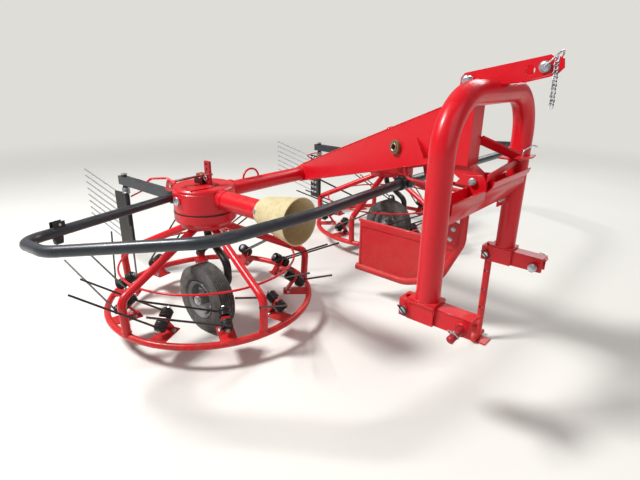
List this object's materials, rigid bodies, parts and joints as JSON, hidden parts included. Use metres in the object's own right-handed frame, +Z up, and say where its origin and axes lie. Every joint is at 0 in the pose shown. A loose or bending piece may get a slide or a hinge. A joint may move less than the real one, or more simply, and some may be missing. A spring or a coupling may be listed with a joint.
{
  "type": "twin rotor hay rake",
  "caption": "Tractor-mounted hay rake with two tined rotors, a boom to a headstock arch, guard hoops, swath gates, gauge wheels and a parking stand.",
  "frame": {"origin": "on the floor, under the middle of the machine's box in length and width", "axes": "+X forward to the tractor, +Y to the machine's left, +Z up"},
  "size_m": [2.2696, 2.8344, 1.09],
  "materials": {
    "red_paint": "gloss",
    "dark_red_paint": "satin",
    "grey_paint": "satin",
    "black_paint": "satin",
    "cream_plastic": "matte",
    "zinc": "satin",
    "rim_paint": "satin",
    "tyre": "matte",
    "tine_black": "satin"
  },
  "bodies": {
    "frame": {"gearcase_right": "red_paint", "gearcase_left": "red_paint", "cross_tube": "red_paint", "boom": "red_paint", "boom_head": "red_paint", "input_tube": "red_paint", "shaft_guard": "cream_plastic", "headstock_tube": "red_paint", "cross_channel": "red_paint", "pivot_bracket": "red_paint", "top_link_plates": "red_paint", "headstock_pins": "zinc", "hitch_brackets": "red_paint", "hitch_arms": "red_paint", "lower_pins": "dark_red_paint", "divider_sheet": "red_paint", "divider_tube": "red_paint", "hoop_right": "grey_paint", "hoop_left": "grey_paint", "hoop_clamp": "black_paint", "gate_arm_right": "grey_paint", "gate_arm_left": "grey_paint", "height_adjusters": "dark_red_paint", "wheel_leg_right": "black_paint", "wheel_leg_left": "black_paint"},
    "input_shaft": {"input_shaft": "zinc"},
    "stand": {"stand": "red_paint"},
    "gate_right": {"gate_right": "black_paint", "gate_rods_right": "zinc"},
    "rotor_right": {"rotor_hub_right": "red_paint", "rotor_basket_right": "red_paint", "tine_units_right": "tine_black"},
    "wheel_right": {"tyre_right": "tyre", "rim_right": "rim_paint"},
    "gate_left": {"gate_left": "black_paint", "gate_rods_left": "zinc"},
    "rotor_left": {"rotor_hub_left": "red_paint", "rotor_basket_left": "red_paint", "tine_units_left": "tine_black"},
    "wheel_left": {"tyre_left": "tyre", "rim_left": "rim_paint"}
  },
  "joints": [
    {"name": "rotor_right_turn", "type": "hinge", "parent": "frame", "child": "rotor_right", "pos_m": [-0.08117, -0.6875, 0.3], "axis": [0, 0, 1], "continuous": true},
    {"name": "wheel_right_turn", "type": "hinge", "parent": "frame", "child": "wheel_right", "pos_m": [0.00883, -0.7775, 0.145], "axis": [0, 1, 0], "continuous": true},
    {"name": "gate_right_swing", "type": "hinge", "parent": "frame", "child": "gate_right", "pos_m": [-0.69317, -0.7275, 0.526], "axis": [0, 0, 1], "range_deg": [-60, 60]},
    {"name": "rotor_left_turn", "type": "hinge", "parent": "frame", "child": "rotor_left", "pos_m": [-0.08117, 0.6875, 0.3], "axis": [0, 0, 1], "continuous": true},
    {"name": "wheel_left_turn", "type": "hinge", "parent": "frame", "child": "wheel_left", "pos_m": [0.00883, 0.5975, 0.145], "axis": [0, 1, 0], "continuous": true},
    {"name": "gate_left_swing", "type": "hinge", "parent": "frame", "child": "gate_left", "pos_m": [-0.69317, 0.7275, 0.526], "axis": [0, 0, 1], "range_deg": [-60, 60]},
    {"name": "input_shaft_turn", "type": "hinge", "parent": "frame", "child": "input_shaft", "pos_m": [0.29083, -0.6875, 0.556], "axis": [1, 0, 0], "continuous": true},
    {"name": "stand_slide", "type": "slide", "parent": "frame", "child": "stand", "axis": [0, 0, 1], "range_m": [0, 0.22]}
  ],
  "couplings": [
    {"joint": "rotor_left_turn", "follows": "rotor_right_turn", "ratio": -1},
    {"joint": "input_shaft_turn", "follows": "rotor_right_turn", "ratio": 3.5}
  ]
}
